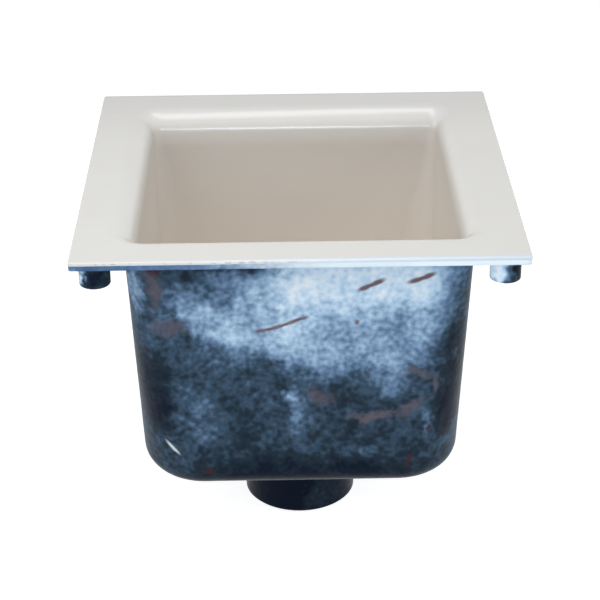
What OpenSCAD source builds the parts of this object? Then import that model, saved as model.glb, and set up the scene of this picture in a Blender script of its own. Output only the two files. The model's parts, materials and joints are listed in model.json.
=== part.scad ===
// Square cast-iron floor sink with a white enamelled rim and bowl, a spigot outlet,
// four lugs under the rim and a domed strainer that lifts out. Millimetres, +Z up.
// The origin is the centre of the spigot's lower end, on the axis of the drain.
// A depth is measured down from the top of the rim.

/* [Rim] */
// Outside width of the square rim, which lies flush with the floor
rim_w = 304.8; // [290:0.1:330]
// Thickness of the rim at its edge, enamel included
rim_t = 6.4; // [5:0.1:9]
// Plan radius of the rim's four outside corners
rim_corner_r = 2; // [1:0.5:6]
// Radius of the edge that rolls from the rim into the bowl
roll_r = 17; // [12:0.5:17]

/* [Bowl] */
// Clear width between the walls just under the rolled edge
bowl_w = 222; // [200:1:226]
// Plan radius of the bowl's corners under the rolled edge
bowl_corner_r = 6.5; // [6:0.5:24]
// Plan radius of the bowl's corners at the foot of the walls
foot_corner_r = 36.5; // [30:0.5:50]
// Depth at which the walls and the sloping floor would meet without a radius
bowl_depth = 193; // [120:0.5:240]
// Draft of the walls, in degrees
draft = 1.5; // [0.5:0.1:3]
// Radius between the walls and the floor
foot_r = 11.5; // [8:0.5:20]
// Fall of the floor from the walls to the strainer's seat
floor_fall = 12; // [6:1:18]
// Thickness of the iron in the walls and the floor
wall_t = 7.5; // [5:0.5:10]
// How far the thick iron under the rim stands out from the walls
collar_out = 4; // [2:0.5:5]
// Depth of that thick iron
collar_depth = 17.7; // [16.5:0.1:20]
// Radius on its lower edge
collar_r = 8; // [4:0.5:9]
// Radius where the iron meets the underside of the rim
neck_r = 3; // [1:0.5:4]

/* [Outlet] */
// Outside diameter of the spigot, which a hubless coupling grips
spigot_d = 85.1; // [82:0.1:89]
// Diameter of the waterway through the spigot
bore_d = 76.2; // [70:0.1:78]
// Length of the spigot below the underside of the floor
spigot_len = 58; // [40:1:80]
// Chamfer on the spigot's lower edge
spigot_chamfer = 1.5; // [0.5:0.5:2]
// Radius of the fillet where the spigot meets the floor
root_r = 5; // [3:1:8]

/* [Corner lugs] */
// Diameter of each round lug under the rim
lug_d = 21; // [16:0.5:24]
// Length of each lug below the rim
lug_len = 16; // [12:0.5:25]
// Distance from the rim's edges to the lug's axis
lug_inset = 15.7; // [14:0.1:18]
// Radius of the fillet at the root of each lug
lug_root_r = 1.5; // [0.5:0.5:2]
// Diameter of the tapping hole for a levelling stud
lug_hole_d = 7.94; // [6:0.01:10]
// Depth of that hole from the lug's end
lug_hole_depth = 14; // [8:0.5:15]

/* [Enamel] */
// Thickness of the enamel
enamel_t = 1; // [0.6:0.1:1.2]
// Length of the enamelled part of the throat below the strainer's seat
throat_len = 20; // [12:1:30]
// Radius of the edge between the seat and the throat
throat_edge_r = 4; // [2:0.5:5]

/* [Strainer] */
// Diameter of the strainer's flat base ring
strainer_d = 104; // [98:1:108]
// Thickness of the strainer's metal
strainer_t = 3; // [2:0.5:4]
// Width of the base ring outside the dome
brim_w = 9; // [6:1:12]
// Height of the dome above its base ring
dome_h = 32; // [30:1:38]
// Number of slots in the lower row
low_slots = 14; // [8:1:16]
// Width of each slot in the lower row
low_slot_w = 7; // [4:0.5:8]
// Length of each slot in the lower row
low_slot_l = 16; // [10:1:18]
// Number of slots in the upper row
high_slots = 7; // [5:1:8]
// Width of each slot in the upper row
high_slot_w = 6; // [4:0.5:7]
// Radius that the upper slots reach out to
high_slot_reach = 24; // [20:1:25]
// Metal left between neighbouring upper slots at the crown
crown_web = 3; // [2:0.5:4]
// Number of locating legs that hang in the throat
legs = 4; // [3:1:6]
// Length of each locating leg
leg_len = 14; // [8:1:20]
// Angle that each leg spans round the throat, in degrees
leg_span = 26; // [15:1:30]
// Radial clearance between the legs and the throat
leg_gap = 1.2; // [0.5:0.1:3]

/* [Hidden] */
$fn = 96;
// gap where enamel lies on iron, and gap under the strainer's ring
bond_gap = 0.02;
seat_gap = 0.2;
// flat width of the seat outside the strainer's ring
seat_margin = 3;
// metal between the base ring and the lower slots
slot_rise = 3;
// extra length that makes cuts and unions run through each other
over = 1;
// how far the faceted walls stand in from the true curve of the edge above them
wall_lap = 0.1;
// segments in a quarter turn of a plan corner, and in the radius at the foot
corner_steps = 12;
foot_steps = 8;

// levels, measured up from the spigot's lower end
seat_depth = bowl_depth + floor_fall;
seat_z = spigot_len + wall_t + enamel_t;
rim_z = seat_z + seat_depth;
throat_low = seat_z - throat_len;
// centre of the opening's plan corners
corner_c = bowl_w / 2 - bowl_corner_r;
// foot of the walls, and the slope of the floor between it and the strainer's seat
seat_r = strainer_d / 2 + seat_margin;
foot_half = bowl_w / 2 - (bowl_depth - roll_r) * tan(draft);
foot_c = foot_half - foot_corner_r;
floor_slope = atan(floor_fall / (foot_half - seat_r));
// distance from the finished surface through enamel and iron to the outside
skin_t = enamel_t + wall_t;
// strainer radii: dome, outside of the legs, waterway between them
dome_r = strainer_d / 2 - brim_w;
leg_r = bore_d / 2 - leg_gap;
water_r = leg_r - strainer_t;

// Centre of the arc at the foot of the wall, as [half width, depth]. It lies foot_r
// from the drafted wall and foot_r from the sloping floor.
function foot_centre() =
    let (wall = cos(draft) * bowl_w / 2 + sin(draft) * roll_r - foot_r,
         floor = sin(floor_slope) * seat_r + cos(floor_slope) * seat_depth - foot_r,
         det = cos(draft + floor_slope))
    [(wall * cos(floor_slope) - floor * sin(draft)) / det,
     (floor * cos(draft) - wall * sin(floor_slope)) / det];

// A station is [half width, corner centre, depth]. These give the surface of the bowl
// at a distance t behind the finished enamel.
function foot_stations(t) =
    let (centre = foot_centre(), to = 90 - floor_slope)
    [for (i = [0 : foot_steps]) let (a = draft + (to - draft) * i / foot_steps)
        [centre[0] + (foot_r + t) * cos(a), foot_c, centre[1] + (foot_r + t) * sin(a)]];
// the floor runs in to a circle, and its corner centres stay a hair apart
function floor_station(t) =
    [seat_r + t * tan(floor_slope / 2), 0.5, seat_depth + t];

// Outline of a station: a square with round corners
function ring(s) =
    let (r = s[0] - s[1])
    [for (q = [0 : 3], i = [0 : corner_steps])
        let (a = 90 * q + 90 * i / corner_steps,
             x = (q == 0 || q == 3) ? s[1] : -s[1],
             y = q < 2 ? s[1] : -s[1])
        [x + r * cos(a), y + r * sin(a), rim_z - s[2]]];

// Closed solid through a list of stations, from the top one down
module loft(stations) {
    m = 4 * (corner_steps + 1);
    k = len(stations);
    points = [for (s = stations, p = ring(s)) p];
    sides = [for (i = [0 : k - 2], j = [0 : m - 1])
        let (n = (j + 1) % m, u = i * m, v = (i + 1) * m)
        each [[u + j, u + n, v + j], [u + n, v + n, v + j]]];
    top = [for (j = [m - 1 : -1 : 0]) j];
    bottom = [for (j = [0 : m - 1]) (k - 1) * m + j];
    polyhedron(points = points, faces = concat([top], sides, [bottom]), convexity = 4);
}

// Walls and floor of the bowl, t behind the finished surface. The walls run up into the
// space of the edge above them, a hair inside it, so that no line of one lies on the other.
module bowl_form(t) {
    top = [bowl_w / 2 + t + over * tan(draft) - wall_lap, corner_c, roll_r - over];
    loft(concat([top], foot_stations(t), [floor_station(t)]));
}

// Sweeps a profile round the opening. The profile is drawn with x as the distance from
// the corner's centre and y as the height over the rim; top and bottom are depths.
module around_opening(top, bottom) {
    translate([0, 0, rim_z])
        for (q = [0 : 3])
            rotate(90 * q)
                translate([corner_c, corner_c, 0]) {
                    rotate_extrude(angle = 90)
                        children();
                    rotate([90, 0, 0])
                        linear_extrude(2 * corner_c)
                            children();
                }
    translate([0, 0, rim_z - (top + bottom) / 2])
        cube([2 * corner_c, 2 * corner_c, bottom - top], center = true);
}

// Block of the profile out to a half width, between two depths
module band(half, top, bottom) {
    translate([0, -bottom])
        square([half - corner_c, bottom - top]);
}

// Block that ends in a concave quarter, which leaves a convex edge of radius r
module round_over(half, top, depth, r) {
    difference() {
        band(half, top, depth);
        translate([half - corner_c, -depth])
            circle(r);
    }
}

// Block whose lower outside edge has a convex radius r
module round_under(half, top, bottom, r) {
    band(half, top, bottom - r);
    band(half - r, top, bottom);
    translate([half - r - corner_c, r - bottom])
        intersection() {
            circle(r);
            translate([0, -r])
                square(r);
        }
}

// Rolled edge from the rim down to the walls, t behind the finished surface
module edge_form(t, top) {
    around_opening(top, roll_r)
        round_over(bowl_w / 2 + roll_r, top, roll_r, roll_r - t);
}

// Space inside the bowl, t behind the finished surface, from the depth top down
module bowl_space(t, top) {
    edge_form(t, top);
    bowl_form(t);
}

// Throat below the seat, down to the height low: a rounded edge, then a straight bore
module throat_space(t, low) {
    r = bore_d / 2 + t;
    edge_r = throat_edge_r - t;
    edge_z = seat_z - throat_edge_r;
    rotate_extrude()
        difference() {
            translate([0, low])
                square([r + edge_r, seat_z + over - low]);
            translate([r + edge_r, edge_z])
                circle(edge_r);
            translate([r, low - over])
                square([edge_r + over, edge_z + over - low]);
        }
}

module rim_plate(top, bottom) {
    side = rim_w - 2 * rim_corner_r;
    translate([0, 0, rim_z - bottom])
        linear_extrude(bottom - top)
            union() {
                square([rim_w, side], center = true);
                square([side, rim_w], center = true);
                for (x = [-side / 2, side / 2], y = [-side / 2, side / 2])
                    translate([x, y])
                        circle(rim_corner_r);
            }
}

// Thick iron that backs the rolled edge, with a fillet under the rim
module collar() {
    top = (enamel_t + rim_t) / 2;
    half = bowl_w / 2 + skin_t + collar_out;
    around_opening(top, collar_depth)
        union() {
            round_under(half, top, collar_depth, collar_r);
            round_over(half + neck_r, top, rim_t + neck_r, neck_r);
        }
}

// Round stub that points down from z = 0, with a fillet at its root
module rooted_stub(radius, length, fillet_r) {
    rotate_extrude()
        difference() {
            union() {
                translate([0, -length])
                    square([radius, length + over]);
                translate([0, -fillet_r])
                    square([radius + fillet_r, fillet_r + over]);
            }
            translate([radius + fillet_r, -fillet_r])
                circle(fillet_r);
        }
}

module spigot() {
    difference() {
        translate([0, 0, spigot_len])
            rooted_stub(spigot_d / 2, spigot_len, root_r);
        rotate_extrude()
            translate([spigot_d / 2, 0])
                rotate(45)
                    square(spigot_chamfer * sqrt(2), center = true);
    }
}

// Places children at the four lugs, on the underside of the rim
module at_lugs() {
    c = rim_w / 2 - lug_inset;
    for (x = [-c, c], y = [-c, c])
        translate([x, y, rim_z - rim_t])
            children();
}

module sink_casting() {
    color([0.16, 0.22, 0.29])
        difference() {
            union() {
                rim_plate(enamel_t, rim_t);
                collar();
                bowl_form(skin_t);
                spigot();
                at_lugs()
                    rooted_stub(lug_d / 2, lug_len, lug_root_r);
            }
            bowl_space(enamel_t, -over);
            throat_space(enamel_t, throat_low);
            translate([0, 0, -over])
                cylinder(h = seat_z + over, d = bore_d);
            at_lugs()
                translate([0, 0, -lug_len - over])
                    cylinder(h = lug_hole_depth + over, d = lug_hole_d);
        }
}

module enamel_lining() {
    back = enamel_t - bond_gap;
    color([0.89, 0.88, 0.85])
        difference() {
            union() {
                rim_plate(0, back);
                bowl_space(back, back / 2);
                throat_space(back, throat_low + bond_gap);
            }
            bowl_space(0, -over);
            throat_space(0, throat_low - over);
        }
}

// Rounded slot that stands along Y
module slot(w, l) {
    square([w, l - w], center = true);
    for (y = [-1, 1])
        translate([0, y * (l - w) / 2])
            circle(d = w);
}

// Part of a ball, h high over a base of radius r
module cap(r, h) {
    ball = (r * r + h * h) / (2 * h);
    intersection() {
        translate([0, 0, h - ball])
            sphere(ball);
        cylinder(h = h + over, r = r + over);
    }
}

module low_slot_cut() {
    rise = strainer_t + slot_rise + low_slot_l / 2;
    for (i = [0 : low_slots - 1])
        rotate(360 * i / low_slots)
            translate([high_slot_reach, 0, rise])
                rotate([90, 0, 90])
                    linear_extrude(dome_r)
                        slot(low_slot_w, low_slot_l);
}

module high_slot_cut() {
    near = high_slots * (high_slot_w + crown_web) / (2 * PI) - high_slot_w / 2;
    for (i = [0 : high_slots - 1])
        rotate(360 * (i + 0.5) / high_slots)
            translate([(near + high_slot_reach) / 2, 0, strainer_t + slot_rise])
                rotate(90)
                    linear_extrude(dome_h)
                        slot(high_slot_w, high_slot_reach - near);
}

module strainer_legs() {
    for (i = [0 : legs - 1])
        rotate(360 * i / legs - leg_span / 2)
            rotate_extrude(angle = leg_span)
                translate([water_r, -leg_len])
                    square([strainer_t, leg_len + strainer_t / 2]);
}

module dome_strainer() {
    color([0.66, 0.67, 0.68])
        translate([0, 0, seat_z + seat_gap]) {
            difference() {
                union() {
                    cylinder(h = strainer_t, d = strainer_d);
                    translate([0, 0, strainer_t])
                        cap(dome_r, dome_h);
                }
                translate([0, 0, strainer_t])
                    cap(dome_r - strainer_t, dome_h - strainer_t);
                translate([0, 0, -over])
                    cylinder(h = strainer_t + 2 * over, r = water_r);
                low_slot_cut();
                high_slot_cut();
            }
            strainer_legs();
        }
}

sink_casting();
enamel_lining();
dome_strainer();
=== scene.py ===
import json
import math
from collections import namedtuple

import bpy
from mathutils import Matrix, Vector


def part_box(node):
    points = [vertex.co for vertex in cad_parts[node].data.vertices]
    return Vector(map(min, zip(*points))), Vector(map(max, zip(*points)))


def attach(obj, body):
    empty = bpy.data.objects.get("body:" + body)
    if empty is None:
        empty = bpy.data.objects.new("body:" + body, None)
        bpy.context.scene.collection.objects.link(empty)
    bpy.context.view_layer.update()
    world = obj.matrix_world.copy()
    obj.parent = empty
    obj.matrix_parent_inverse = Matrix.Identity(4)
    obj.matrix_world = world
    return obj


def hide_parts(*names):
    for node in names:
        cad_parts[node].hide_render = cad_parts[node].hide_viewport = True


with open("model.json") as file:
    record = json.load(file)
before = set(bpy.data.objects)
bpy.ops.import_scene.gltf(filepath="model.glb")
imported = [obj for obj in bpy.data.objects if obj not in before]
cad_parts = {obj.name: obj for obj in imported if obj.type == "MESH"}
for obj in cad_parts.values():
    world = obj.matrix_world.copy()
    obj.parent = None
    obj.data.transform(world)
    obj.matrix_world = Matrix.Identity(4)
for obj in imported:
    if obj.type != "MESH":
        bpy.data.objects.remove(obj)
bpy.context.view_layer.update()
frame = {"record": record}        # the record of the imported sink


# The casting: grey iron poured in a sand mould, in one piece from the flat rim to the
# outlet spigot, with four round lugs under the rim's corners. Its outside is brushed with
# thin blue-black paint, which has gone pale and chalky where it was rubbed. Its colour also
# holds painted light and shade: a pale sheen high on the front, and a darker foot and spigot.
mm = 0.001
scene = bpy.context.scene
mounts = {m["name"]: m for m in frame["record"]["mounts"]}
lowest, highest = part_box("enamel_lining")
rim_half = highest.x / mm
rim_top = highest.z / mm
throat_low = lowest.z / mm
rim_under = mounts["rim_underside"]["pos_m"][2] / mm
spigot_r = mounts["outlet_spigot"]["dims"]["r_mm"]
# sizes in millimetres; a half is measured from the axis, and a corner radius is seen from above
rim_corner_r = 2
roll_r = 17
bowl_half = 111
bowl_corner_r = 6.5
foot_corner_r = 36.5
foot_r = 11.5
bowl_depth = 193
floor_fall = 12
draft = math.radians(1.5)
bore_r = 38.1
throat_edge_r = 4
seat_r = 55
enamel_t = 1
wall_t = 7.5
# the collar under the rim: how far out, its radius, and how deep it turns in and meets the wall
collar_out = 4
collar_r = 7
collar_turn = 14.4
collar_depth = 17
collar_tuck = 0.12
neck_r = 3
root_r = 5
spigot_chamfer = 1.5
# the bead of enamel laps this far out over the iron's edge
bead_lap = 0.3
# the radius that the mould leaves on an edge, and that of the soft crease round the seat
mould_r = 0.8
crease_r = 30
# the mould's unevenness: how much of it the walls take up, and how far apart its swells are
mould_swing = 0.5
mould_swell = 28
# edges sharper than this stay crisp in the shading
sharp_angle = math.radians(50)
# a square ring's corner takes at least this share of each quarter's points
corner_share = 1 / 3

skin_t = enamel_t + wall_t
opening_c = bowl_half - bowl_corner_r
rim_c = rim_half - rim_corner_r
seat_z = rim_top - bowl_depth - floor_fall
foot_half = bowl_half - (bowl_depth - roll_r) * math.tan(draft)
foot_c = foot_half - foot_corner_r
floor_slope = math.atan(floor_fall / (foot_half - seat_r))

# A corner of a section: distance from the axis, height, how far out the centre of the plan
# corner lies there, radius of the section's corner, and share of the mould's unevenness.
Corner = namedtuple("Corner", "half height centre radius rough", defaults=(0, 0))
Station = namedtuple("Station", "half height centre rough")


def foot_corner(t):
    """Where the drafted wall and the sloping floor would meet, t behind the finished surface."""
    wall = math.cos(draft) * bowl_half + math.sin(draft) * roll_r + t
    floor = math.sin(floor_slope) * seat_r + math.cos(floor_slope) * (rim_top - seat_z) + t
    turn = math.cos(draft + floor_slope)
    half = (wall * math.cos(floor_slope) - floor * math.sin(draft)) / turn
    depth = (floor * math.cos(draft) - wall * math.sin(floor_slope)) / turn
    return half, rim_top - depth


def lining(t, rough=0.0):
    """Section of the bowl from the rolled edge to the throat, t behind the finished surface."""
    foot, foot_z = foot_corner(t)
    return [
        Corner(bowl_half + roll_r * math.tan(draft) + t, rim_top - t, opening_c, roll_r - t, rough),
        Corner(foot, foot_z, foot_c, foot_r + t, rough),
        Corner(seat_r + t * math.tan(floor_slope / 2), seat_z - t, 0, crease_r, rough),
        Corner(bore_r + t, seat_z - t, 0, throat_edge_r - t, rough),
    ]


# degrees between the points of a wide and of a tight arc, and the widest radius that is tight
wide_step, tight_step, tight_r = 5, 18, 4
# a section that turns by less than this, in radians, goes on straight
least_turn = 0.01
# the row beside each arc, which keeps the flat next to it flat in the shading
row_gap = 0.4
shortest_flat = 2


def rounded(corners, spacing, closed=True):
    """Stations along a section, with an arc at each corner that has a radius."""
    points = [Vector((c.half, c.height)) for c in corners]
    arcs = []
    for i, corner in enumerate(corners):
        here = points[i]
        back = (points[i - 1] - here).normalized()
        on = (points[(i + 1) % len(points)] - here).normalized()
        turn = math.pi - back.angle(on, 0)
        if corner.radius == 0 or turn < least_turn:
            arcs.append([here])
            continue
        middle = here + (back + on).normalized() * corner.radius / math.cos(turn / 2)
        first = here + back * corner.radius * math.tan(turn / 2) - middle
        sign = 1 if back.x * on.y - back.y * on.x < 0 else -1
        step = wide_step if corner.radius > tight_r else tight_step
        steps = max(3, round(turn / math.radians(step)))
        arcs.append([middle + Matrix.Rotation(sign * turn * k / steps, 2) @ first
                     for k in range(steps + 1)])
    stations = []
    for i, corner in enumerate(corners):
        following = corners[(i + 1) % len(corners)]
        stations += [Station(p.x, p.y, corner.centre, corner.rough) for p in arcs[i]]
        start, end = arcs[i][-1], arcs[(i + 1) % len(corners)][0]
        length = (end - start).length
        if length < shortest_flat or (i + 1 == len(corners) and not closed):
            continue
        inner = length - 2 * row_gap
        count = max(1, round(inner / spacing))
        shares = [(row_gap + inner * k / count) / length for k in range(count + 1)]
        for share in shares:
            p = start.lerp(end, share)
            mix = [a + (b - a) * share for a, b in ((corner.centre, following.centre),
                                                    (corner.rough, following.rough))]
            stations.append(Station(p.x, p.y, *mix))
    return stations


def section_mesh(name, stations):
    """A row of points that carry half width, centre of the plan corner and height."""
    mesh = bpy.data.meshes.new(name)
    mesh.from_pydata([(s.half * mm, s.centre * mm, s.height * mm) for s in stations], [], [])
    rough = mesh.attributes.new("rough", "FLOAT", "POINT")
    rough.data.foreach_set("value", [float(s.rough) for s in stations])
    return mesh


def node(tree, kind, inputs=None, **settings):
    """Adds a node with its settings. Each input is given a value, or the output that feeds it."""
    made = tree.nodes.new(kind)
    for name, value in settings.items():
        setattr(made, name, value)
    for key, value in (inputs or {}).items():
        if isinstance(value, bpy.types.Node):
            value = value.outputs[0]
        if isinstance(value, bpy.types.NodeSocket):
            tree.links.new(value, made.inputs[key])
        else:
            made.inputs[key].default_value = value
    return made


def geometry_tree(name, sockets):
    """A node tree with those named inputs after the geometry, and its group input node."""
    tree = bpy.data.node_groups.new(name, "GeometryNodeTree")
    tree.interface.new_socket("Geometry", in_out="INPUT", socket_type="NodeSocketGeometry")
    tree.interface.new_socket("Geometry", in_out="OUTPUT", socket_type="NodeSocketGeometry")
    for label, kind in sockets.items():
        tree.interface.new_socket(label, in_out="INPUT", socket_type="NodeSocket" + kind)
    return tree, tree.nodes.new("NodeGroupInput")


def finish(tree, shape, given):
    """Ends a tree: smooth faces, sharp edges past an angle, real meshes and the material."""
    angle = node(tree, "GeometryNodeInputMeshEdgeAngle")
    blunt = node(tree, "FunctionNodeCompare", {0: angle, 1: given.outputs["Sharp angle"]},
                 data_type="FLOAT", operation="LESS_THAN")
    smooth = node(tree, "GeometryNodeSetShadeSmooth", {"Geometry": shape}, domain="FACE")
    edges = node(tree, "GeometryNodeSetShadeSmooth", {"Geometry": smooth, "Shade Smooth": blunt},
                 domain="EDGE")
    real = node(tree, "GeometryNodeRealizeInstances", {"Geometry": edges})
    done = node(tree, "GeometryNodeSetMaterial",
                {"Geometry": real, "Material": given.outputs["Material"]})
    node(tree, "NodeGroupOutput", {"Geometry": done})


def grown(name, mesh, tree, values):
    """A finished object: mesh with the tree's result, as one plain mesh at the origin."""
    seed = bpy.data.objects.new(name + "_seed", mesh)
    scene.collection.objects.link(seed)
    modifier = seed.modifiers.new(tree.name, "NODES")
    modifier.node_group = tree
    for item in tree.interface.items_tree:
        if item.in_out == "INPUT" and item.name in values:
            modifier[item.identifier] = values[item.name]
    seen = seed.evaluated_get(bpy.context.evaluated_depsgraph_get())
    result = bpy.data.objects.new(name, bpy.data.meshes.new_from_object(seen))
    scene.collection.objects.link(result)
    bpy.data.objects.remove(seed)
    return result


def colour(value):
    """Linear RGBA of an sRGB hex colour."""
    parts = [int(value[i:i + 2], 16) / 255 for i in (0, 2, 4)]
    return [p / 12.92 if p <= 0.04045 else ((p + 0.055) / 1.055) ** 2.4 for p in parts] + [1]


def new_material(name):
    """An empty material, its tree, and the node that gives a point's place in millimetres."""
    material = bpy.data.materials.new(name)
    material.use_nodes = True
    tree = material.node_tree
    tree.nodes.clear()
    where = node(tree, "ShaderNodeTexCoord")
    in_mm = node(tree, "ShaderNodeVectorMath", {0: where.outputs["Object"], "Scale": 1 / mm},
                 operation="SCALE")
    return material, tree, in_mm


# Tree that sweeps a section round the axis: every station becomes a square ring whose
# corners have the radius that is left between its half width and its corner centre.
# A closed section wraps by one row, and an open one, which ends on the axis, by none.
sweep, given = geometry_tree("Square sweep", {
    "Steps in a quarter": "Int", "Least corner share": "Float", "Wrap": "Int",
    "Unevenness": "Float", "Unevenness size": "Float", "Seed": "Float",
    "Sharp angle": "Float", "Material": "Material"})
stations_in = node(sweep, "GeometryNodeAttributeDomainSize", {0: given.outputs["Geometry"]})
around = node(sweep, "ShaderNodeMath", {0: given.outputs["Steps in a quarter"], 1: 4.0, 2: 1.0},
              operation="MULTIPLY_ADD")
along = node(sweep, "ShaderNodeMath", {0: stations_in, 1: given.outputs["Wrap"]},
             operation="ADD")
rows = node(sweep, "ShaderNodeMath", {0: along, 1: 1.0}, operation="SUBTRACT")
grid = node(sweep, "GeometryNodeMeshGrid",
            {"Size X": 4.0, "Size Y": rows, "Vertices X": around, "Vertices Y": along})
grid_at = node(sweep, "ShaderNodeSeparateXYZ", {0: node(sweep, "GeometryNodeInputPosition")})
turn_in = node(sweep, "ShaderNodeMath", {0: grid_at.outputs["X"], 1: 2.0}, operation="ADD")
half_rows = node(sweep, "ShaderNodeMath", {0: rows, 1: 0.5}, operation="MULTIPLY")
row = node(sweep, "ShaderNodeMath", {0: grid_at.outputs["Y"], 1: half_rows}, operation="ADD")
whole_row = node(sweep, "ShaderNodeMath", {0: row}, operation="ROUND")
station_no = node(sweep, "ShaderNodeMath", {0: whole_row, 1: stations_in}, operation="MODULO")
place = node(sweep, "GeometryNodeSampleIndex",
             {"Geometry": given.outputs["Geometry"],
              "Value": node(sweep, "GeometryNodeInputPosition"), "Index": station_no},
             data_type="FLOAT_VECTOR")
rough_in = node(sweep, "GeometryNodeInputNamedAttribute", {"Name": "rough"}, data_type="FLOAT")
roughness_at = node(sweep, "GeometryNodeSampleIndex",
                    {"Geometry": given.outputs["Geometry"], "Value": rough_in,
                     "Index": station_no}, data_type="FLOAT")
at = node(sweep, "ShaderNodeSeparateXYZ", {0: place})
half_at, centre_at, height_at = at.outputs["X"], at.outputs["Y"], at.outputs["Z"]
quarter = node(sweep, "ShaderNodeMath", {0: turn_in}, operation="FLOOR")
along_side = node(sweep, "ShaderNodeMath", {0: turn_in, 1: quarter}, operation="SUBTRACT")
radius_at = node(sweep, "ShaderNodeMath", {0: half_at, 1: centre_at}, operation="SUBTRACT")
arc_at = node(sweep, "ShaderNodeMath", {0: radius_at, 1: math.pi / 2}, operation="MULTIPLY")
length_at = node(sweep, "ShaderNodeMath", {0: centre_at, 1: 2.0, 2: arc_at},
                 operation="MULTIPLY_ADD")
true_share = node(sweep, "ShaderNodeMath", {0: arc_at, 1: length_at}, operation="DIVIDE")
arc_share = node(sweep, "ShaderNodeMath",
                 {0: true_share, 1: given.outputs["Least corner share"]}, operation="MAXIMUM")
before_arc = node(sweep, "ShaderNodeMath", {0: arc_share, 1: -0.5, 2: 0.5},
                  operation="MULTIPLY_ADD")
after_arc = node(sweep, "ShaderNodeMath", {0: arc_share, 1: 0.5, 2: 0.5},
                 operation="MULTIPLY_ADD")
side_one = node(sweep, "ShaderNodeMapRange", {"Value": along_side, "From Max": before_arc})
angle_at = node(sweep, "ShaderNodeMapRange",
                {"Value": along_side, "From Min": before_arc, "From Max": after_arc,
                 "To Max": math.pi / 2})
side_two = node(sweep, "ShaderNodeMapRange",
                {"Value": along_side, "From Min": after_arc, "From Max": 1.0,
                 "To Min": 1.0, "To Max": 0.0})
cosine = node(sweep, "ShaderNodeMath", {0: angle_at}, operation="COSINE")
sine = node(sweep, "ShaderNodeMath", {0: angle_at}, operation="SINE")
arc_x = node(sweep, "ShaderNodeMath", {0: radius_at, 1: cosine}, operation="MULTIPLY")
arc_y = node(sweep, "ShaderNodeMath", {0: radius_at, 1: sine}, operation="MULTIPLY")
ring_x = node(sweep, "ShaderNodeMath", {0: centre_at, 1: side_two, 2: arc_x},
              operation="MULTIPLY_ADD")
ring_y = node(sweep, "ShaderNodeMath", {0: centre_at, 1: side_one, 2: arc_y},
              operation="MULTIPLY_ADD")
ring_point = node(sweep, "ShaderNodeCombineXYZ", {0: ring_x, 1: ring_y, 2: height_at})
quarter_turn = node(sweep, "ShaderNodeMath", {0: quarter, 1: math.pi / 2},
                    operation="MULTIPLY")
turned = node(sweep, "ShaderNodeVectorRotate", {"Vector": ring_point, "Angle": quarter_turn},
              rotation_type="Z_AXIS")
kept = node(sweep, "GeometryNodeStoreNamedAttribute",
            {"Geometry": grid, "Name": "rough", "Value": roughness_at}, data_type="FLOAT")
swept = node(sweep, "GeometryNodeSetPosition", {"Geometry": kept, "Position": turned})
weld_gap = 0.01
closed = node(sweep, "GeometryNodeMergeByDistance",
              {"Geometry": swept, "Distance": weld_gap * mm})
# the mould's unevenness moves each point along its normal
wave = node(sweep, "ShaderNodeTexNoise",
            {"W": given.outputs["Seed"], "Detail": 2.0,
             "Scale": node(sweep, "ShaderNodeMath",
                           {0: 1.0, 1: given.outputs["Unevenness size"]}, operation="DIVIDE")},
            noise_dimensions="4D")
swing = node(sweep, "ShaderNodeMath", {0: wave, 1: 0.5}, operation="SUBTRACT")
swing_mm = node(sweep, "ShaderNodeMath", {0: swing, 1: given.outputs["Unevenness"]},
                operation="MULTIPLY")
rough_kept = node(sweep, "GeometryNodeInputNamedAttribute", {"Name": "rough"},
                  data_type="FLOAT")
rise = node(sweep, "ShaderNodeMath", {0: swing_mm, 1: rough_kept}, operation="MULTIPLY")
push = node(sweep, "ShaderNodeVectorMath",
            {0: node(sweep, "GeometryNodeInputNormal"), "Scale": rise}, operation="SCALE")
uneven = node(sweep, "GeometryNodeSetPosition", {"Geometry": closed, "Offset": push})
finish(sweep, uneven, given)

# Blue-black air-drying paint on sand-cast iron, brushed on thin. The sand's grain shows
# through it as a fine pale and dark speckle, and the film is chalky blue where it was rubbed.
# Its colour also holds painted light and shade: a pale sheen of the light from above, lit and
# shaded sides on the corners and the lugs, and shade on the foot and the spigot.
# One group tells how deep a point lies in a soft-edged ellipsoid: 1 inside, 0 outside.
spot_tree = bpy.data.node_groups.new("Soft spot", "ShaderNodeTree")
for label, kind in (("Vector", "Vector"), ("Place", "Vector"), ("Turn", "Vector"),
                    ("Half size", "Vector"), ("Core", "Float")):
    spot_tree.interface.new_socket(label, in_out="INPUT", socket_type="NodeSocket" + kind)
spot_tree.interface.new_socket("Depth", in_out="OUTPUT", socket_type="NodeSocketFloat")
given = spot_tree.nodes.new("NodeGroupInput")
local = node(spot_tree, "ShaderNodeMapping",
             {"Vector": given.outputs["Vector"], "Location": given.outputs["Place"],
              "Rotation": given.outputs["Turn"], "Scale": given.outputs["Half size"]},
             vector_type="TEXTURE")
far = node(spot_tree, "ShaderNodeVectorMath", {0: local}, operation="LENGTH")
deep = node(spot_tree, "ShaderNodeMapRange",
            {"Value": far.outputs["Value"], "From Min": 1.0, "From Max": given.outputs["Core"]},
            interpolation_type="SMOOTHSTEP")
node(spot_tree, "NodeGroupOutput", {"Depth": deep})

# A mark on the front: distance right of the axis, depth below the rim, half width, half height,
# strength, how many degrees its right end is raised, and how far out its middle lies, which is
# in the wall unless it says otherwise.
in_wall = 116.5
Mark = namedtuple("Mark", "across depth wide tall strength lean out", defaults=(0, in_wall))
mark_reach = 46


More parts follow.
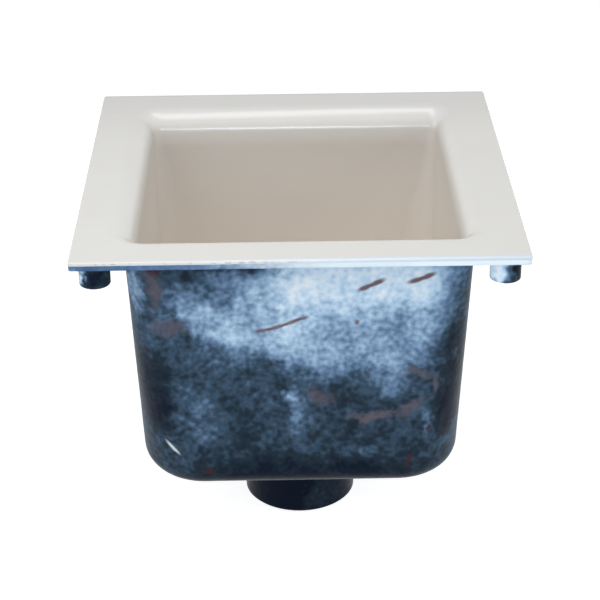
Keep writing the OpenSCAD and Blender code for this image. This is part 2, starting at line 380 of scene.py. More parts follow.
def marked(tree, points, marks, core):
    """Sum of the marks, each an ellipsoid that reaches through the front wall."""
    total = 0.0
    for mark in marks:
        spot = node(tree, "ShaderNodeGroup",
                    {"Vector": points, "Turn": (0, math.radians(-mark.lean), 0), "Core": core,
                     "Place": (mark.across, -mark.out, rim_top - mark.depth),
                     "Half size": (mark.wide, mark_reach, mark.tall)}, node_tree=spot_tree)
        total = node(tree, "ShaderNodeMath", {0: spot, 1: float(mark.strength), 2: total},
                     operation="MULTIPLY_ADD")
    return total


# rubbed pale, and painted light: the body from its top to its foot, then the rim's edge, then
# the front lugs. The big pale patches high on the front are partly a painted sheen of the light
# from above, the pale strip down the left corner and the pale left sides of the lugs are painted
# light, and the pale rim edge is partly a painted reflection.
on_edge = rim_half
on_lug = rim_half - 8
rubbed_and_painted_light = [Mark(46, 26, 84, 50, 0.72), Mark(-22, 30, 54, 14, 0.09), Mark(-113, 36, 8, 30, 0.3),
          Mark(-50, 38, 34, 22, 0.14), Mark(-82, 40, 16, 12, 0.14), Mark(-14, 50, 42, 36, 0.42),
          Mark(68, 50, 26, 14, 0.07), Mark(-15, 52, 9, 8, 0.2), Mark(-34, 54, 24, 12, 0.06),
          Mark(88, 58, 20, 44, 0.27), Mark(106, 58, 8, 16, 0.1), Mark(-46, 60, 18, 12, 0.1),
          Mark(-59, 65, 44, 18, 0.4, -28), Mark(-14, 80, 26, 18, 0.16),
          Mark(32, 84, 88, 38, 0.36), Mark(-50, 84, 28, 20, 0.16), Mark(15, 88, 14, 12, 0.1),
          Mark(108, 96, 4, 14, 0.25), Mark(60, 110, 18, 28, 0.1), Mark(68, 118, 18, 12, 0.07),
          Mark(-13, 122, 3, 4, 0.14), Mark(-4, 124, 5, 6, 0.16), Mark(-28, 124, 13, 26, 0.08),
          Mark(-2, 134, 24, 28, 0.1), Mark(-4, 138, 9, 34, 0.14), Mark(-68, 145, 18, 26, 0.1),
          Mark(88, 148, 5, 18, 0.14), Mark(103, 150, 5, 10, 0.18), Mark(48, 172, 8, 7, 0.16),
          Mark(0, 4, 190, 6.5, 0.3, 0, on_edge),
          Mark(-149, 14, 7.5, 16, 0.8, 0, on_lug - 4), Mark(129.5, 14, 9, 16, 0.8, 0, on_lug)]
# brushed on thick, and dark, and painted shade: the body, then the front lugs. The dark strip
# down the right corner, the dark band round the bottom and the dark right sides of the lugs are
# painted shade.
thick_and_painted_shade = [Mark(-34, 22, 16, 8, 0.12), Mark(-78, 28, 26, 11, 0.03), Mark(95, 84, 14, 14, 0.2),
         Mark(-15, 100, 8, 8, 0.12), Mark(42, 104, 26, 12, 0.1), Mark(110, 106, 12, 60, 0.24),
         Mark(24, 122, 28, 13, 0.05), Mark(-106, 124, 22, 54, 0.2), Mark(106, 140, 6, 12, 0.1),
         Mark(104, 142, 16, 30, 0.32), Mark(108, 148, 10, 24, 0.14),
         Mark(-98, 150, 14, 24, 0.08), Mark(30, 152, 11, 14, 0.08), Mark(-38, 160, 14, 10, 0.08),
         Mark(75, 172, 9, 8, 0.1), Mark(0, 196, 110, 34, 0.18),
         Mark(-136, 14, 10, 16, 0.2, 0, on_lug - 4), Mark(148, 14, 7, 16, 0.4, 0, on_lug)]
# mauve primer laid bare, and specks of rust
primer = [Mark(-100, 36, 9, 20, 0.7), Mark(-90, 68, 18, 9, 0.5), Mark(-40, 66, 4, 3, 0.4),
          Mark(81, 107, 17, 4.5, 0.6, -12), Mark(95, 118, 5, 13, 0.6), Mark(14, 126, 13, 11, 0.5),
          Mark(77, 134, 15, 6, 0.7, 32), Mark(50, 141, 24, 5, 0.8)]
rust = [Mark(-98, 24, 6, 5, 0.8), Mark(90, 155, 4, 2.5, 0.9), Mark(78, 181, 4, 6, 0.8),
        Mark(-66, 185, 6, 5, 0.7)]
# the rim's front edge: smooth blue film at its left end, and at its right iron rubbed bright
# together with a painted reflection of the light
blued = [Mark(-115, 4, 90, 6.5, 0.7, 0, on_edge)]
bright_and_reflection = [Mark(60, 4, 125, 6.5, 0.9, 0, on_edge), Mark(125, 4, 60, 6.5, 0.7, 0, on_edge)]
# three long scars and one nick, brown with primer, and two pale scratches
scars = [Mark(-26, 70.4, 9, 2.3, 0.9, 8), Mark(-16, 67.8, 9, 2.2, 0.9, 17),
         Mark(-6, 64.2, 9, 2.2, 0.9, 22), Mark(1, 61.4, 7, 2, 0.8, 16),
         Mark(44, 38.2, 8, 2.8, 1, 25), Mark(52.5, 34.2, 8.5, 2.8, 1, 25),
         Mark(78.5, 33, 8, 2.8, 1, 18), Mark(87, 29.8, 8, 2.8, 1, 23),
         Mark(39, 65, 2.4, 3, 0.9)]
scratches = [Mark(-92, 168, 9.5, 2, 0.9, -47), Mark(-27, 45, 1.6, 1.6, 0.4)]

paint, tree, in_mm = new_material("brushed_paint_on_cast_iron")
# Sizes of the wear's clouds, the brush's blotches and the sand's grain. Real sand leaves a
# grain of about 0.5 mm, which is drawn coarser here so that it shows.
cloud_size, blotch_size, grain_size = 60, 10, 3.8
cloud = node(tree, "ShaderNodeTexNoise",
             {"Vector": in_mm, "Scale": 1 / cloud_size, "Detail": 3.0})
blotch = node(tree, "ShaderNodeTexNoise",
              {"Vector": in_mm, "Scale": 1 / blotch_size, "Detail": 2.6})
grain = node(tree, "ShaderNodeTexNoise",
             {"Vector": in_mm, "Scale": 1 / grain_size, "Detail": 0.6})
# ragged edges: wide marks are pushed about by the blotches, narrow ones by the grain
ragged_by, frayed_by = 18, 1.2
middle = (0.5, 0.5, 0.5)
shift = node(tree, "ShaderNodeVectorMath", {0: blotch.outputs["Color"], 1: middle},
             operation="SUBTRACT")
ragged = node(tree, "ShaderNodeVectorMath", {0: shift, 1: (ragged_by,) * 3, 2: in_mm},
              operation="MULTIPLY_ADD")
jitter = node(tree, "ShaderNodeVectorMath", {0: grain.outputs["Color"], 1: middle},
              operation="SUBTRACT")
frayed = node(tree, "ShaderNodeVectorMath", {0: jitter, 1: (frayed_by,) * 3, 2: in_mm},
              operation="MULTIPLY_ADD")
at_point = node(tree, "ShaderNodeSeparateXYZ", {0: in_mm})
# The tone runs from 0, thick and dark or in painted shade, to 1, rubbed pale or in painted
# light. The front's pale places are marks, and those of the other sides are clouds, paler
# towards the rim, partly a painted sheen of the light from above.
front_from, front_to = -55, -90
dull_depth, pale_depth = 130, 60
front = node(tree, "ShaderNodeMapRange",
             {"Value": at_point.outputs["Y"], "From Min": front_from, "From Max": front_to},
             interpolation_type="SMOOTHSTEP")
upper_sheen = node(tree, "ShaderNodeMapRange",
             {"Value": at_point.outputs["Z"], "From Min": rim_top - dull_depth,
              "From Max": rim_top - pale_depth, "To Min": 0.26, "To Max": 0.52},
             interpolation_type="SMOOTHSTEP")
base = node(tree, "ShaderNodeMix", {0: front, 2: upper_sheen, 3: 0.27}, data_type="FLOAT")
cloud_swing = node(tree, "ShaderNodeMapRange", {"Value": front, "To Min": 1.7, "To Max": 0.3})
cloud_part = node(tree, "ShaderNodeMath", {0: cloud, 1: 0.5}, operation="SUBTRACT")
tone = node(tree, "ShaderNodeMath", {0: cloud_part, 1: cloud_swing, 2: base},
            operation="MULTIPLY_ADD")
# the foot of the body and the spigot are darker, the spigot the most: painted shade under the body
foot_depth = 160
spigot_fade = 16
for high, low, painted_shade in ((rim_top - foot_depth, seat_z, 0.13),
                        (seat_z, seat_z - spigot_fade, 0.24)):
    darker = node(tree, "ShaderNodeMapRange",
                  {"Value": at_point.outputs["Z"], "From Min": high, "From Max": low,
                   "To Max": painted_shade})
    tone = node(tree, "ShaderNodeMath", {0: tone, 1: darker}, operation="SUBTRACT")
for marks, way in ((rubbed_and_painted_light, "ADD"), (thick_and_painted_shade, "SUBTRACT")):
    tone = node(tree, "ShaderNodeMath", {0: tone, 1: marked(tree, ragged, marks, 0.3)},
                operation=way)
# a rubbed film is patchier, so the blotches and the grain swing the tone more there
patchy = node(tree, "ShaderNodeMapRange", {"Value": tone, "From Min": 0.25, "From Max": 0.8,
                                           "To Min": 0.66, "To Max": 1.15})
for noise, swing in ((blotch, 0.46), (grain, 0.42)):
    centred = node(tree, "ShaderNodeMath", {0: noise, 1: 0.5}, operation="SUBTRACT")
    swung_by = node(tree, "ShaderNodeMath", {0: patchy, 1: swing}, operation="MULTIPLY")
    tone = node(tree, "ShaderNodeMath", {0: centred, 1: swung_by, 2: tone},
                operation="MULTIPLY_ADD")
# the ramp goes on past a tone of 1, so that the palest specks keep their shades
palest = 1.2
ramp_at = node(tree, "ShaderNodeMath", {0: tone, 1: palest}, operation="DIVIDE")
ramp = node(tree, "ShaderNodeValToRGB", {0: ramp_at})
stops = ((0.0, "0A1728"), (0.2, "24323E"), (0.36, "41576C"), (0.54, "6D89A8"),
         (0.7, "97B4CE"), (0.85, "B8D2E8"), (1.0, "D4E6F4"), (palest, "EEF6FB"))
while len(ramp.color_ramp.elements) < len(stops):
    ramp.color_ramp.elements.new(0.5)
for stop, (at_tone, hex_value) in zip(ramp.color_ramp.elements, stops):
    stop.position = at_tone / palest
    stop.color = colour(hex_value)
film = ramp.outputs[0]
for marks, points, core, hex_value in (
        (primer, ragged, 0.2, "686069"), (rust, ragged, 0.2, "46282C"),
        (blued, frayed, 0.3, "56749C"), (bright_and_reflection, frayed, 0.3, "ECF9FF"),
        (scars, frayed, 0.3, "735F66"), (scratches, frayed, 0.3, "E4EAEE")):
    amount = node(tree, "ShaderNodeMath", {0: marked(tree, points, marks, core), 1: 1.0},
                  operation="MINIMUM")
    laid = node(tree, "ShaderNodeMix", {0: amount, 6: film, 7: colour(hex_value)},
                data_type="RGBA")
    film = laid.outputs[2]
# rubbed paint is the duller, and the film follows the grain of the iron
gloss = node(tree, "ShaderNodeMapRange", {"Value": tone, "From Min": 0.1, "From Max": 0.8,
                                          "To Min": 0.34, "To Max": 0.62})
bumps = node(tree, "ShaderNodeBump", {"Height": grain, "Strength": 0.4, "Distance": 0.5 * mm})
shader = node(tree, "ShaderNodeBsdfPrincipled",
              {"Base Color": film, "Roughness": gloss, "Normal": bumps,
               "Specular IOR Level": 0.05})
node(tree, "ShaderNodeOutputMaterial", {"Surface": shader})

wall_half = bowl_half + skin_t
collar_half = wall_half + collar_out
casting_section = [
    Corner(bore_r, 0, 0, 0.4, 0),
    Corner(spigot_r - spigot_chamfer, 0, 0, 0.4, 0),
    Corner(spigot_r, spigot_chamfer, 0, 0.4, 0),
    Corner(spigot_r, seat_z - skin_t, 0, root_r, 1),
    Corner(seat_r + skin_t * math.tan(floor_slope / 2), seat_z - skin_t, 0, crease_r, 1),
    Corner(*foot_corner(skin_t), foot_c, foot_r + skin_t, 1),
    Corner(wall_half - collar_tuck, rim_top - collar_depth, opening_c, 1, 1),
    Corner(collar_half, rim_top - collar_turn, opening_c, collar_r, 1),
    Corner(collar_half, rim_under, opening_c, neck_r, 0.3),
    Corner(rim_half - bead_lap, rim_under, rim_c, mould_r, 0),
    Corner(rim_half - bead_lap, rim_top - enamel_t, rim_c, 2 * mould_r, 0),
] + lining(enamel_t) + [
    Corner(bore_r + enamel_t, throat_low, 0, 0, 0),
    Corner(bore_r, throat_low, 0, 0, 0),
]
body = grown("casting_body",
             section_mesh("casting_section", rounded(casting_section, spacing=4)), sweep,
             {"Steps in a quarter": 72, "Least corner share": corner_share, "Wrap": 1,
              "Unevenness": mould_swing * mm, "Unevenness size": mould_swell * mm,
              "Seed": 3.0, "Sharp angle": sharp_angle, "Material": paint})

# One lug, with a blind hole for a stud. Four of them are grown together with the body, each
# by a thin flange that lies inside the rim.
holes = mounts["lug_holes"]
lug_end = holes["pos_m"][2] / mm
hole_r = holes["dims"]["hole_r_mm"]
lug_r = 10.5
lug_root_r = 1.5
hole_depth = 14
lug_in_rim = 0.3
flange_t = 0.5
root_z = rim_under + lug_in_rim
flange_r = lug_r + lug_root_r + lug_in_rim
lug_section = [
    Corner(0, lug_end + hole_depth, 0),
    Corner(hole_r, lug_end + hole_depth, 0, 0.3),
    Corner(hole_r, lug_end, 0, 0.4),
    Corner(lug_r, lug_end, 0, mould_r),
    Corner(lug_r, root_z, 0, lug_root_r),
    Corner(flange_r, root_z, 0),
    Corner(flange_r, root_z + flange_t, 0),
    Corner(0, root_z + flange_t, 0),
]
lug = grown("lug", section_mesh("lug_section", rounded(lug_section, spacing=3, closed=False)),
            sweep,
            {"Steps in a quarter": 16, "Least corner share": corner_share, "Wrap": 0,
             "Unevenness": 0.0, "Unevenness size": mould_swell * mm, "Seed": 4.0,
             "Sharp angle": sharp_angle, "Material": paint})
joining, given = geometry_tree("Lugs on the casting", {
    "Lug": "Object", "Spacing": "Float", "Sharp angle": "Float", "Material": "Material"})
places = node(joining, "GeometryNodeMeshGrid",
              {"Size X": given.outputs["Spacing"], "Size Y": given.outputs["Spacing"],
               "Vertices X": 2, "Vertices Y": 2})
one_lug = node(joining, "GeometryNodeObjectInfo", {"Object": given.outputs["Lug"]})
four_lugs = node(joining, "GeometryNodeInstanceOnPoints",
                 {"Points": places, "Instance": one_lug.outputs["Geometry"]})
lug_mesh = node(joining, "GeometryNodeRealizeInstances", {"Geometry": four_lugs})
cast = node(joining, "GeometryNodeMeshBoolean", {"Mesh 2": given.outputs["Geometry"]},
            operation="UNION", solver="MANIFOLD")
joining.links.new(lug_mesh.outputs[0], cast.inputs["Mesh 2"])
finish(joining, cast, given)
casting = grown("casting", body.data, joining,
                {"Lug": lug, "Spacing": holes["dims"]["spacing_x_mm"] * mm,
                 "Sharp angle": sharp_angle, "Material": paint})
for used in (body, lug):
    bpy.data.objects.remove(used)
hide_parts("sink_casting")
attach(casting, "sink")


# The enamel: white porcelain frit dusted on the red-hot iron and fused to it in a furnace.
# It covers the rim, the rolled edge and the bowl, and laps over the rim's edge in a thin bead.
enamel, tree, in_mm = new_material("fused_vitreous_enamel")
# Fused frit is glass: a warm white gloss that mirrors the room softly, for it lies a little
# wavy, like orange peel. The sizes are those of its cloudy pools, of the fringe of its chips
# and of that peel.
pool_size, fringe_size, peel_size = 45, 3.5, 9
at_point = node(tree, "ShaderNodeSeparateXYZ", {0: in_mm})
pool = node(tree, "ShaderNodeTexNoise",
            {"Vector": in_mm, "Scale": 1 / pool_size, "Detail": 3.0})
tint = node(tree, "ShaderNodeMix", {0: pool, 6: colour("D9D8D3"), 7: colour("DEDDDA")},
            data_type="RGBA")
# Below these depths the bowl's colour is painted: darker and greyer on the steep part of the
# rolled edge, a painted shade, and paler and warmer down the walls to the floor, painted light
# that keeps the deep walls as bright as those near the top.
inside_from, inside_to, lit_depth = 4, 15, 122
inside = node(tree, "ShaderNodeMapRange",
              {"Value": at_point.outputs["Z"], "From Min": rim_top - inside_from,
               "From Max": rim_top - inside_to}, interpolation_type="SMOOTHSTEP")
lit_deeper = node(tree, "ShaderNodeMapRange",
              {"Value": at_point.outputs["Z"], "From Min": rim_top - roll_r,
               "From Max": rim_top - lit_depth})
bowl_shade_and_light = node(tree, "ShaderNodeMix", {0: lit_deeper, 6: colour("D0CCC5"), 7: colour("F7EFE5")},
             data_type="RGBA")
coat_tint = node(tree, "ShaderNodeMix", {0: inside, 6: tint.outputs[2], 7: bowl_shade_and_light.outputs[2]},
                 data_type="RGBA")
# The ground coat shows grey where the bead is chipped, most of all where the front edge was
# knocked, and along the rim's back edge. The rim also greys faintly towards its back edge, a
# painted shade where less of the light falls. All but the knock's place, which is across the
# front, are distances from the rim's outline.
fringe_swing = 1.2
chip_from, chip_to = 0.7, 0.85
knock_at, knock_size, knock_swing = -27, (36, 9, 9), 0.2
back_from, back_to = 5, 1
back_shade_from, back_shade_to = 100, 15
across = node(tree, "ShaderNodeMath", {0: at_point.outputs["X"]}, operation="ABSOLUTE")
along = node(tree, "ShaderNodeMath", {0: at_point.outputs["Y"]}, operation="ABSOLUTE")
outward = node(tree, "ShaderNodeMath", {0: across, 1: along}, operation="MAXIMUM")
fringe = node(tree, "ShaderNodeTexNoise",
              {"Vector": in_mm, "Scale": 1 / fringe_size, "Detail": 2.0})
edge_at = node(tree, "ShaderNodeMath", {0: fringe, 1: fringe_swing, 2: outward},
               operation="MULTIPLY_ADD")
knocked = node(tree, "ShaderNodeGroup",
               {"Vector": in_mm, "Core": 0.3, "Place": (knock_at, -rim_half, rim_top),
                "Half size": knock_size}, node_tree=spot_tree)
edge_at = node(tree, "ShaderNodeMath", {0: knocked, 1: knock_swing, 2: edge_at},
               operation="MULTIPLY_ADD")
chipped = node(tree, "ShaderNodeMapRange",
               {"Value": edge_at, "From Min": rim_half + chip_from,
                "From Max": rim_half + chip_to, "To Max": 0.6})
behind = node(tree, "ShaderNodeMapRange",
              {"Value": at_point.outputs["Y"], "From Min": rim_half - back_from,
               "From Max": rim_half - back_to, "To Max": 0.4})
back_shade = node(tree, "ShaderNodeMapRange",
               {"Value": at_point.outputs["Y"], "From Min": rim_half - back_shade_from,
                "From Max": rim_half - back_shade_to, "To Max": 0.14},
               interpolation_type="SMOOTHSTEP")
edge = node(tree, "ShaderNodeMath", {0: chipped, 1: behind}, operation="MAXIMUM")
edge = node(tree, "ShaderNodeMath", {0: edge, 1: back_shade}, operation="MAXIMUM")
edged = node(tree, "ShaderNodeMix", {0: edge, 6: coat_tint.outputs[2], 7: colour("9E98A0")},
             data_type="RGBA")
# along the front edge the bead is painted bluish, more so at the right: a painted reflection
lip_from, lip_to = 4.5, 2.5
right_from, right_to = -90, 60
lip = node(tree, "ShaderNodeMapRange",
           {"Value": at_point.outputs["Y"], "From Min": lip_from - rim_half,
            "From Max": lip_to - rim_half})
to_right = node(tree, "ShaderNodeMapRange",
                {"Value": at_point.outputs["X"], "From Min": right_from, "From Max": right_to,
                 "To Max": 0.8}, interpolation_type="SMOOTHSTEP")
bluish_reflection = node(tree, "ShaderNodeMath", {0: lip, 1: to_right}, operation="MULTIPLY")
edged = node(tree, "ShaderNodeMix", {0: bluish_reflection, 6: edged.outputs[2], 7: colour("D3E0EC")},
             data_type="RGBA")
peel = node(tree, "ShaderNodeTexNoise",
            {"Vector": in_mm, "Scale": 1 / peel_size, "Detail": 1.0})
flow = node(tree, "ShaderNodeBump", {"Height": peel, "Strength": 0.25, "Distance": 0.4 * mm})
shader = node(tree, "ShaderNodeBsdfPrincipled",
              {"Base Color": edged.outputs[2], "Roughness": 0.22, "IOR": 1.6, "Normal": flow})
node(tree, "ShaderNodeOutputMaterial", {"Surface": shader})

# a hair's gap stands in for the bond, and the bead drops this far down the iron's edge
bond_gap = 0.02
back_t = enamel_t - bond_gap
bead_drop = 2.1
bead_r = 1.1
bead_back = rim_half - bead_lap + bond_gap
enamel_section = lining(0) + [
    Corner(bore_r, throat_low, 0, 0.2, 0),
    Corner(bore_r + back_t, throat_low, 0, 0.2, 0),
] + lining(back_t)[::-1] + [
    Corner(bead_back, rim_top - back_t, rim_c, 2 * mould_r, 0),
    Corner(bead_back, rim_top - bead_drop, rim_c, 0.05, 0),
    Corner(rim_half, rim_top - bead_drop, rim_c, 0.15, 0),
    Corner(rim_half, rim_top, rim_c, bead_r, 0),
]
coat = grown("enamel_coat",
             section_mesh("enamel_section", rounded(enamel_section, spacing=3.5)), sweep,
             {"Steps in a quarter": 72, "Least corner share": corner_share, "Wrap": 1,
              "Unevenness": 0.0, "Unevenness size": mould_swell * mm, "Seed": 5.0,
              "Sharp angle": sharp_angle, "Material": enamel})
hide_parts("enamel_lining")
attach(coat, "sink")


# The strainer: a domed grating with a flat base ring, cast in aluminium. It lies loose on
# the sloping floor's flat seat, and four legs hang in the throat and keep it centred.
aluminium, tree, in_mm = new_material("sand_cast_aluminium")
# Oxide greys its skin in clouds, the sand's grain leaves it pitted, and its edges are worn
# round, so it looks a dull, broken silver. Real pits are about 0.4 mm wide, and they are drawn
# coarser here so that they show.
pit_size, oxide_size = 0.9, 14
sand = node(tree, "ShaderNodeTexNoise", {"Vector": in_mm, "Scale": 1 / pit_size, "Detail": 2.0})
oxide = node(tree, "ShaderNodeTexNoise",
             {"Vector": in_mm, "Scale": 1 / oxide_size, "Detail": 3.0})
skin_tint = node(tree, "ShaderNodeMix", {0: oxide, 6: colour("A9ACAF"), 7: colour("C6C8CA")},
                 data_type="RGBA")
skin_gloss = node(tree, "ShaderNodeMapRange", {"Value": oxide, "From Min": 0.3, "From Max": 0.7,
                                               "To Min": 0.46, "To Max": 0.34})
worn = node(tree, "ShaderNodeBevel", {"Radius": 0.6 * mm})
pits = node(tree, "ShaderNodeBump", {"Height": sand, "Strength": 0.5, "Distance": 0.2 * mm,
                                     "Normal": worn})
shader = node(tree, "ShaderNodeBsdfPrincipled",
              {"Base Color": skin_tint.outputs[2], "Metallic": 1.0, "Roughness": skin_gloss,
               "Normal": pits})
node(tree, "ShaderNodeOutputMaterial", {"Surface": shader})

# the dome and its ring, the legs, and the rows of slots round its side and its crown
strainer_t = 3
dome_r = 43
dome_h = 32
legs, leg_in, leg_out = 4, 33.9, 36.9
leg_turn = math.radians(26)
leg_corner_r = 4
low_slots, low_slot_w, low_slot_l = 14, 7, 16
high_slots, high_slot_w = 7, 6
high_slot_from, high_slot_to = 7.03, 24
slot_low = 6
dome_sharp_angle = math.radians(40)
strainer_low, strainer_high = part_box("dome_strainer")
ring_r = strainer_high.x / mm
leg_end = strainer_low.z / mm
ring_top = strainer_high.z / mm - dome_h
ring_under = ring_top - strainer_t
slot_z = ring_under + slot_low
dome_step = 1.9


def dome(radius, height):
    """Corners along a ball's cap that stands on the base ring, from the crown outwards."""
    ball = (radius ** 2 + height ** 2) / (2 * height)
    reach = math.asin(radius / ball)
    count = round(ball * reach / dome_step)
    return [Corner(ball * math.sin(reach * k / count),
                   ring_top + height - ball * (1 - math.cos(reach * k / count)), 0)
            for k in range(count)]


strainer_section = dome(dome_r - strainer_t, dome_h - strainer_t) + [
    Corner(dome_r - strainer_t, ring_top, 0, 1),
    Corner(leg_in, ring_top, 0, 0.6),
    Corner(leg_in, ring_under, 0, 0.5),
    Corner(ring_r, ring_under, 0, 0.5),
    Corner(ring_r, ring_top, 0, 1),
    Corner(dome_r, ring_top, 0, 1.2),
] + dome(dome_r, dome_h)[::-1]
solid_dome = grown("solid_dome",
                   section_mesh("strainer_section",
                                rounded(strainer_section, spacing=3, closed=False)), sweep,
                   {"Steps in a quarter": 36, "Least corner share": corner_share, "Wrap": 0,
                    "Unevenness": 0.0, "Unevenness size": mould_swell * mm, "Seed": 6.0,
                    "Sharp angle": dome_sharp_angle, "Material": aluminium})


slot_end_steps = 12
slot_wall = 1.5


def slot_cutter(name, width, length, middle, side, up, along):
    """Prism with round ends: its long way runs along up, and it is pushed out by along."""
    outline = []
    for end in (1, -1):
        for k in range(slot_end_steps + 1):
            turn = math.pi * (k / slot_end_steps + (0 if end > 0 else 1))
            outline.append(middle + side * (math.cos(turn) * width / 2)
                           + up * (math.sin(turn) * width / 2 + end * (length - width) / 2))
    n = len(outline)
    points = [p * mm for p in outline] + [(p + along) * mm for p in outline]
    mesh = bpy.data.meshes.new(name)
    mesh.from_pydata(points, [], [tuple(range(n))[::-1], tuple(range(n, 2 * n))]
                     + [(i, (i + 1) % n, n + (i + 1) % n, n + i) for i in range(n)])
    cutter = bpy.data.objects.new(name, mesh)
    scene.collection.objects.link(cutter)
    return cutter


low_slot = slot_cutter("low_slot", low_slot_w, low_slot_l,
                       Vector((high_slot_to + slot_wall, 0, slot_z + low_slot_l / 2)),
                       Vector((0, 1, 0)), Vector((0, 0, 1)), Vector((dome_r, 0, 0)))
high_slot = slot_cutter("high_slot", high_slot_w, high_slot_to - high_slot_from,
                        Vector(((high_slot_from + high_slot_to) / 2, 0, slot_z)),
                        Vector((0, -1, 0)), Vector((1, 0, 0)), Vector((0, 0, dome_h)))

# one leg: columns round the throat, with the lower corners rounded off, that reach into the ring
leg_points, leg_faces = [], []
leg_columns = 18
leg_in_ring = 1.5
leg_inset = 0.1
leg_top = ring_under + leg_in_ring
half_leg = leg_out * leg_turn / 2
for k in range(leg_columns + 1):
    s = half_leg * math.sin(math.pi * (k / leg_columns - 0.5))
    inset = max(0, abs(s) - half_leg + leg_corner_r)
    low = leg_end + leg_corner_r - math.sqrt(leg_corner_r ** 2 - inset ** 2)
    turn = s / leg_out
    leg_points += [(r * math.cos(turn) * mm, r * math.sin(turn) * mm, z * mm)
                   for r, z in ((leg_in + leg_inset, low), (leg_out, low), (leg_out, leg_top),
                                (leg_in + leg_inset, leg_top))]
    a = 4 * k
    if k:
        leg_faces += [(a - 4 + i, a - 4 + (i + 1) % 4, a + (i + 1) % 4, a + i) for i in range(4)]
leg_faces += [(0, 3, 2, 1), (a, a + 1, a + 2, a + 3)]
leg_mesh = bpy.data.meshes.new("leg")
leg_mesh.from_pydata(leg_points, [], leg_faces)
leg_mesh.flip_normals()
leg = bpy.data.objects.new("leg", leg_mesh)
scene.collection.objects.link(leg)

# Tree that sets copies of an object round the axis, as one mesh
ring_of, given = geometry_tree("Ring of copies",
                               {"Object": "Object", "Count": "Int", "First turn": "Float"})
origins = node(ring_of, "GeometryNodeMeshLine", {"Count": given.outputs["Count"],
                                                 "Offset": (0, 0, 0)})
turn_step = node(ring_of, "ShaderNodeMath", {0: 2 * math.pi, 1: given.outputs["Count"]},
                 operation="DIVIDE")
turn_at = node(ring_of, "ShaderNodeMath",
               {0: node(ring_of, "GeometryNodeInputIndex"), 1: turn_step,
                2: given.outputs["First turn"]}, operation="MULTIPLY_ADD")
copied = node(ring_of, "GeometryNodeObjectInfo", {"Object": given.outputs["Object"]})
copies = node(ring_of, "GeometryNodeInstanceOnPoints",
              {"Points": origins, "Instance": copied.outputs["Geometry"],
               "Rotation": node(ring_of, "ShaderNodeCombineXYZ", {"Z": turn_at})})
node(ring_of, "NodeGroupOutput", {0: node(ring_of, "GeometryNodeRealizeInstances", {0: copies})})

# Tree that cuts two rows of slots in the dome and hangs the legs under its ring
slotting, given = geometry_tree("Slotted dome", {
    "Low slot": "Object", "Low slots": "Int", "High slot": "Object", "High slots": "Int",
    "High slots' turn": "Float", "Leg": "Object", "Legs": "Int", "Sharp angle": "Float",
    "Material": "Material"})
low_cut = node(slotting, "GeometryNodeGroup", {"Object": given.outputs["Low slot"],
                                               "Count": given.outputs["Low slots"]},
               node_tree=ring_of)
high_cut = node(slotting, "GeometryNodeGroup", {"Object": given.outputs["High slot"],
                                                "Count": given.outputs["High slots"],
                                                "First turn": given.outputs["High slots' turn"]},
                node_tree=ring_of)
hung = node(slotting, "GeometryNodeGroup", {"Object": given.outputs["Leg"],
                                            "Count": given.outputs["Legs"]}, node_tree=ring_of)
once_cut = node(slotting, "GeometryNodeMeshBoolean",
                {"Mesh 1": given.outputs["Geometry"], "Mesh 2": low_cut},
                operation="DIFFERENCE", solver="MANIFOLD")
twice_cut = node(slotting, "GeometryNodeMeshBoolean", {"Mesh 1": once_cut, "Mesh 2": high_cut},
                 operation="DIFFERENCE", solver="MANIFOLD")
legged = node(slotting, "GeometryNodeMeshBoolean", {"Mesh 2": twice_cut},
              operation="UNION", solver="MANIFOLD")
slotting.links.new(hung.outputs[0], legged.inputs["Mesh 2"])
finish(slotting, legged, given)
strainer = grown("strainer_casting", solid_dome.data, slotting,
                 {"Low slot": low_slot, "Low slots": low_slots, "High slot": high_slot,
                  "High slots": high_slots, "High slots' turn": math.pi / high_slots,
                  "Leg": leg, "Legs": legs, "Sharp angle": dome_sharp_angle,
                  "Material": aluminium})
for used in (solid_dome, low_slot, high_slot, leg):
    bpy.data.objects.remove(used)
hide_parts("dome_strainer")
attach(strainer, "strainer")


# The set-up: a white floor with soft light from above, in front and the sides, and a camera
# above the front edge that looks down into the bowl. Its places are in metres.
aim = Vector((0.0008, -0.0442, rim_top * mm - 0.0854))
distance = 1.3054
looking_down = math.radians(27.35)
swung = math.radians(-0.7325)
rolled = math.radians(-0.514)
lens_px = 1791.6
picture_px = 600
facing = (Matrix.Rotation(swung, 4, "Z") @ Matrix.Rotation(math.pi / 2 - looking_down, 4, "X")
          @ Matrix.Rotation(rolled, 4, "Z"))
camera = bpy.data.objects.new("camera", bpy.data.cameras.new("camera"))
camera.data.sensor_width = 36
camera.data.lens = lens_px / picture_px * camera.data.sensor_width
camera.data.clip_start = 0.05
camera.matrix_world = Matrix.Translation(aim) @ facing @ Matrix.Translation((0, 0, distance))
scene.collection.objects.link(camera)
scene.camera = camera

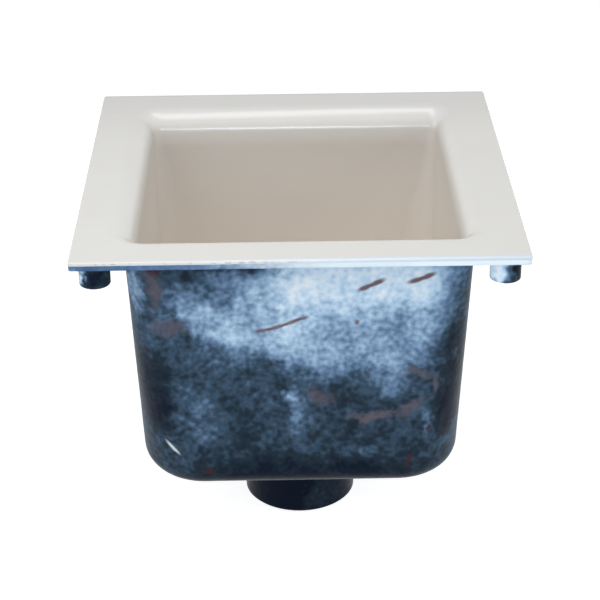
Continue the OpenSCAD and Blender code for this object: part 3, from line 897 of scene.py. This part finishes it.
floor_mesh = bpy.data.meshes.new("floor")
floor_half = 6
floor_mesh.from_pydata([(x * floor_half, y * floor_half, 0)
                        for x, y in ((-1, -1), (1, -1), (1, 1), (-1, 1))], [], [(0, 1, 2, 3)])
floor = bpy.data.objects.new("floor", floor_mesh)
scene.collection.objects.link(floor)
white = bpy.data.materials.new("white_backdrop")
white.use_nodes = True
tree = white.node_tree
tree.nodes.clear()
path = node(tree, "ShaderNodeLightPath")
sees = node(tree, "ShaderNodeMath", {0: path.outputs["Is Camera Ray"],
                                     1: path.outputs["Is Glossy Ray"]}, operation="MAXIMUM")
plain = node(tree, "ShaderNodeBsdfDiffuse", {"Color": colour("CCCCCC")})
glow = node(tree, "ShaderNodeEmission", {"Color": colour("FFFFFF"), "Strength": 0.8})
lit = node(tree, "ShaderNodeAddShader", {0: plain, 1: glow})
chosen = node(tree, "ShaderNodeMixShader", {0: sees, 1: plain, 2: lit})
node(tree, "ShaderNodeOutputMaterial", {"Surface": chosen})
floor_mesh.materials.append(white)

world = bpy.data.worlds.new("studio")
scene.world = world
world.use_nodes = True
tree = world.node_tree
tree.nodes.clear()
path = node(tree, "ShaderNodeLightPath")
sees = node(tree, "ShaderNodeMath", {0: path.outputs["Is Camera Ray"],
                                     1: path.outputs["Is Glossy Ray"]}, operation="MAXIMUM")
sees = node(tree, "ShaderNodeMath", {0: sees, 1: path.outputs["Is Transmission Ray"]},
            operation="MAXIMUM")
fill = node(tree, "ShaderNodeBackground", {"Color": colour("FFFFFF"), "Strength": 0.25})
backdrop = node(tree, "ShaderNodeBackground", {"Color": colour("FFFFFF"), "Strength": 1.0})
chosen = node(tree, "ShaderNodeMixShader", {0: sees, 1: fill, 2: backdrop})
node(tree, "ShaderNodeOutputWorld", {"Surface": chosen})

# Softboxes: where each stands and its width and depth in metres, its watts, whether it shows in
# gloss, and its colour. The narrow cool one shows in the rolled edge as a thin bright line.
Softbox = namedtuple("Softbox", "place wide deep watts mirrored tint", defaults=("FFFFFF",))
for box in (Softbox((-0.05, 0.0, 0.95), 0.7, 0.28, 1.8, True),
            Softbox((-0.2, -0.7, 0.72), 1.2, 0.7, 4.1, False),
            Softbox((-1.0, -0.1, 0.55), 1.0, 0.5, 2.6, True),
            Softbox((1.0, -0.1, 0.55), 1.0, 0.5, 3.9, False),
            Softbox((0, -1.0, 0.355), 0.32, 0.04, 1.8, True, "DCEDFF")):
    lamp = bpy.data.lights.new("softbox", "AREA")
    lamp.shape = "RECTANGLE"
    lamp.size = box.wide
    lamp.size_y = box.deep
    lamp.energy = box.watts
    lamp.color = colour(box.tint)[:3]
    softbox = bpy.data.objects.new("softbox", lamp)
    softbox.location = box.place
    softbox.visible_camera = False
    softbox.visible_glossy = box.mirrored
    softbox.rotation_euler = (aim - softbox.location).to_track_quat("-Z", "Y").to_euler()
    scene.collection.objects.link(softbox)

scene.view_settings.view_transform = "Standard"
